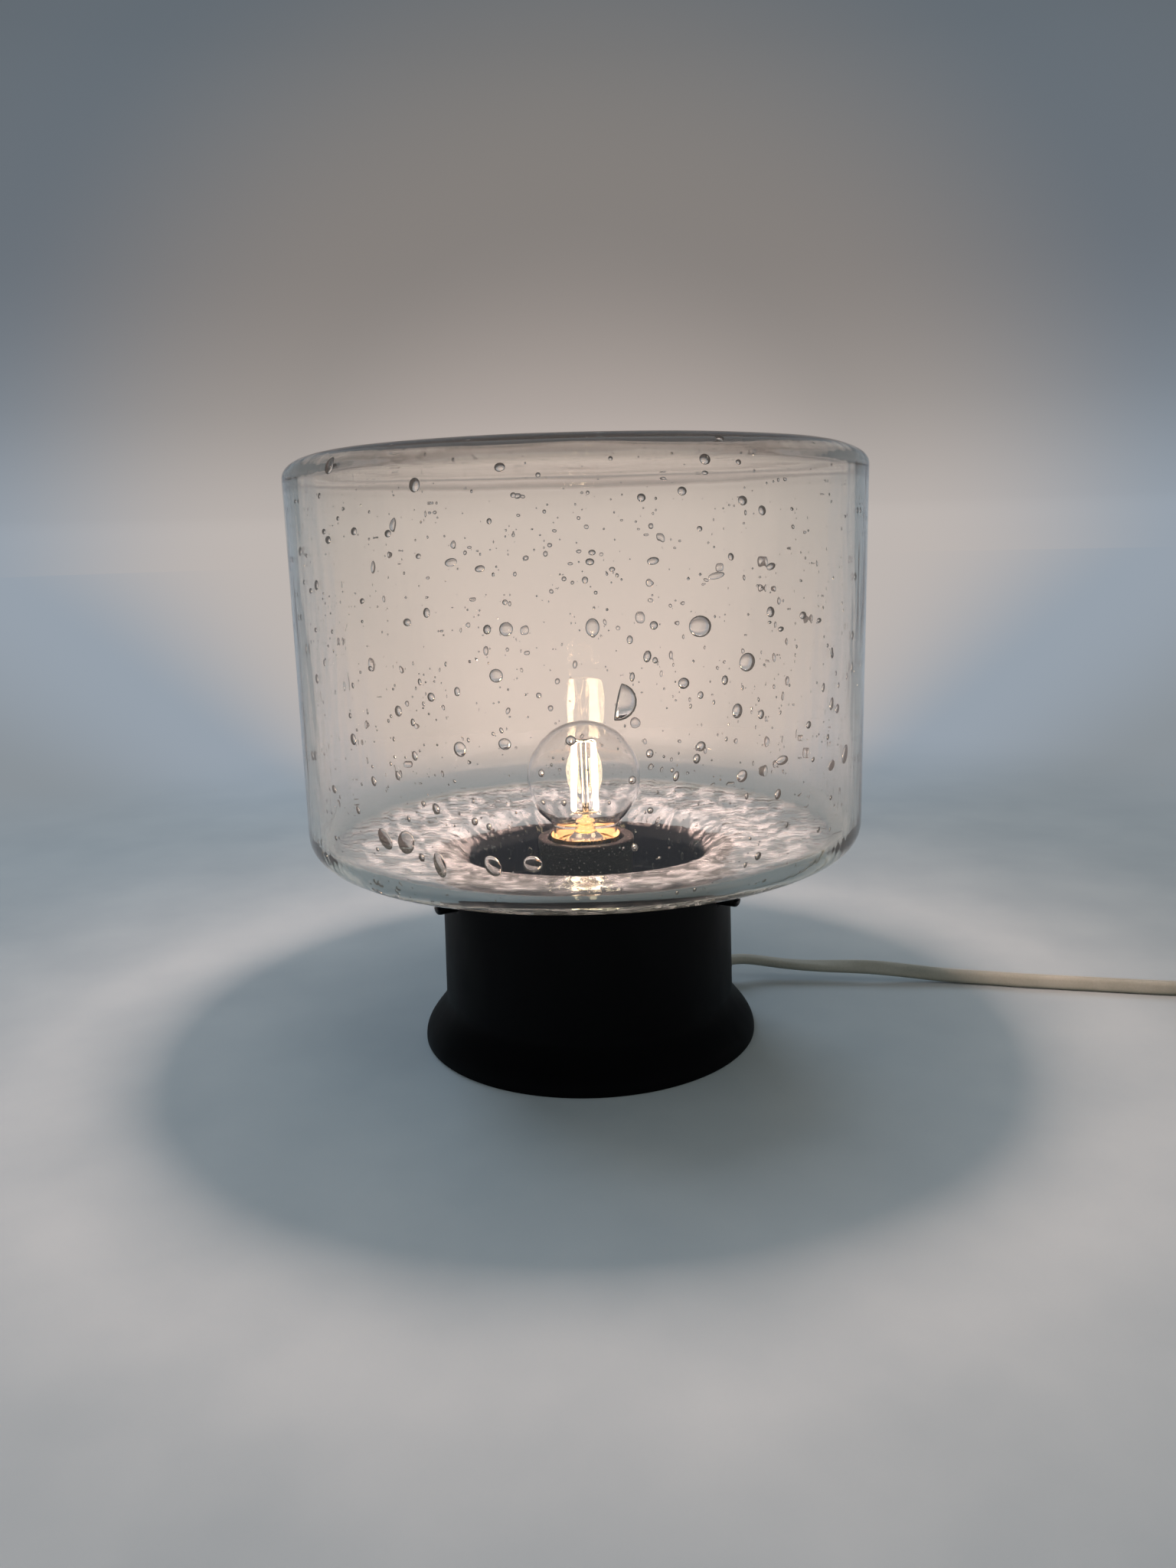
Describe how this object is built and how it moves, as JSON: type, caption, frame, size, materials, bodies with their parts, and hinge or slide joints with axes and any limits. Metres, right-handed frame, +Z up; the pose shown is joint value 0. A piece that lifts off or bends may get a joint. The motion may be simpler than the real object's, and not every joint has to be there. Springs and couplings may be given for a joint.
{
  "type": "ceiling light",
  "caption": "Ceiling light: a bubble-glass drum shade held by its neck in a flared black canopy, with a lamp holder, a clear filament globe bulb and a flat cord with a plug",
  "frame": {"origin": "on the floor, in the middle of the canopy's foot", "axes": "+Z up through the canopy, the bulb and the glass shade; the cord leaves the canopy towards +X"},
  "size_m": [0.4581, 0.2476, 0.2294],
  "materials": {
    "black_lacquer": "matte",
    "bubble_glass": "clear, with seeds and bubbles",
    "bulb_glass": "clear",
    "zinc_steel": "zinc plated",
    "blackened_steel": "satin",
    "brass": "plain",
    "nickel": "nickel plated",
    "bakelite": "dusty, half gloss",
    "porcelain": "glazed",
    "nylon": "plain",
    "ivory_plastic": "satin",
    "brown_wire": "satin",
    "blue_wire": "satin",
    "black_glass": "glazed",
    "phosphor": "lit, warm",
    "circuit_board": "white board",
    "grey_tie": "plain"
  },
  "bodies": {
    "base": {"canopy_shell": "black_lacquer", "mounting_bridge": "zinc_steel", "threaded_nipple": "zinc_steel", "nipple_nut": "zinc_steel", "nipple_washer": "zinc_steel", "holder_base": "bakelite", "holder_insert": "porcelain", "centre_contact": "brass", "side_contact": "brass", "holder_skirt": "bakelite", "thread_sleeve": "brass", "terminal_block": "porcelain", "terminal_screw_1": "zinc_steel", "terminal_screw_2": "zinc_steel", "terminal_screw_3": "zinc_steel", "terminal_screw_4": "zinc_steel", "cord_clamp": "nylon", "cord_clamp_screw_1": "zinc_steel", "cord_clamp_screw_2": "zinc_steel", "live_lead": "brown_wire", "neutral_lead": "blue_wire", "cord_inner": "ivory_plastic", "cord_relief": "ivory_plastic", "clamp_nut_1": "zinc_steel", "clamp_nut_2": "zinc_steel", "clamp_nut_3": "zinc_steel", "cord_run": "ivory_plastic", "cord_coil": "ivory_plastic", "cord_tie": "grey_tie", "plug_body": "ivory_plastic", "plug_pin_1": "nickel", "plug_pin_2": "nickel"},
    "shade": {"glass_shade": "bubble_glass"},
    "tip_1": {"screw_tip_1": "nylon"},
    "tip_2": {"screw_tip_2": "nylon"},
    "tip_3": {"screw_tip_3": "nylon"},
    "screw_1": {"clamp_screw_1": "blackened_steel"},
    "screw_2": {"clamp_screw_2": "blackened_steel"},
    "screw_3": {"clamp_screw_3": "blackened_steel"},
    "contact": {"bulb_contact": "brass"},
    "bulb": {"cap_insulator": "black_glass", "bulb_cap": "nickel", "led_driver": "circuit_board", "bulb_globe": "bulb_glass", "bulb_stem": "bulb_glass", "led_filament_1": "phosphor", "led_filament_2": "phosphor", "led_filament_3": "phosphor", "led_filament_4": "phosphor", "lower_wires": "nickel", "upper_wires": "nickel"}
  },
  "joints": [
    {"name": "shade_lift", "type": "slide", "parent": "base", "child": "shade", "axis": [0, 0, 1], "range_m": [0, 0.17]},
    {"name": "screw_1_travel", "type": "slide", "parent": "base", "child": "tip_1", "axis": [0.866, -0.5, 0], "range_m": [0, 0.0028]},
    {"name": "screw_1_turn", "type": "hinge", "parent": "tip_1", "child": "screw_1", "pos_m": [0.05283, -0.0305, 0.0625], "axis": [0.866, -0.5, 0], "range_deg": [0, 1440]},
    {"name": "screw_2_travel", "type": "slide", "parent": "base", "child": "tip_2", "axis": [-0.866, -0.5, 0], "range_m": [0, 0.0028]},
    {"name": "screw_2_turn", "type": "hinge", "parent": "tip_2", "child": "screw_2", "pos_m": [-0.05283, -0.0305, 0.0625], "axis": [-0.866, -0.5, 0], "range_deg": [0, 1440]},
    {"name": "screw_3_travel", "type": "slide", "parent": "base", "child": "tip_3", "axis": [0, 1, 0], "range_m": [0, 0.0028]},
    {"name": "screw_3_turn", "type": "hinge", "parent": "tip_3", "child": "screw_3", "pos_m": [0, 0.061, 0.0625], "axis": [0, 1, 0], "range_deg": [0, 1440]},
    {"name": "bulb_travel", "type": "slide", "parent": "base", "child": "contact", "axis": [0, 0, 1], "range_m": [0, 0.0163]},
    {"name": "bulb_turn", "type": "hinge", "parent": "contact", "child": "bulb", "pos_m": [0, 0, 0.082], "axis": [0, 0, 1], "range_deg": [0, 1620]}
  ],
  "couplings": [
    {"joint": "screw_1_turn", "follows": "screw_1_travel", "rad_per_m": 8976},
    {"joint": "screw_2_turn", "follows": "screw_2_travel", "rad_per_m": 8976},
    {"joint": "screw_3_turn", "follows": "screw_3_travel", "rad_per_m": 8976},
    {"joint": "bulb_travel", "follows": "bulb_turn", "m_per_rad": 0.00057296}
  ]
}
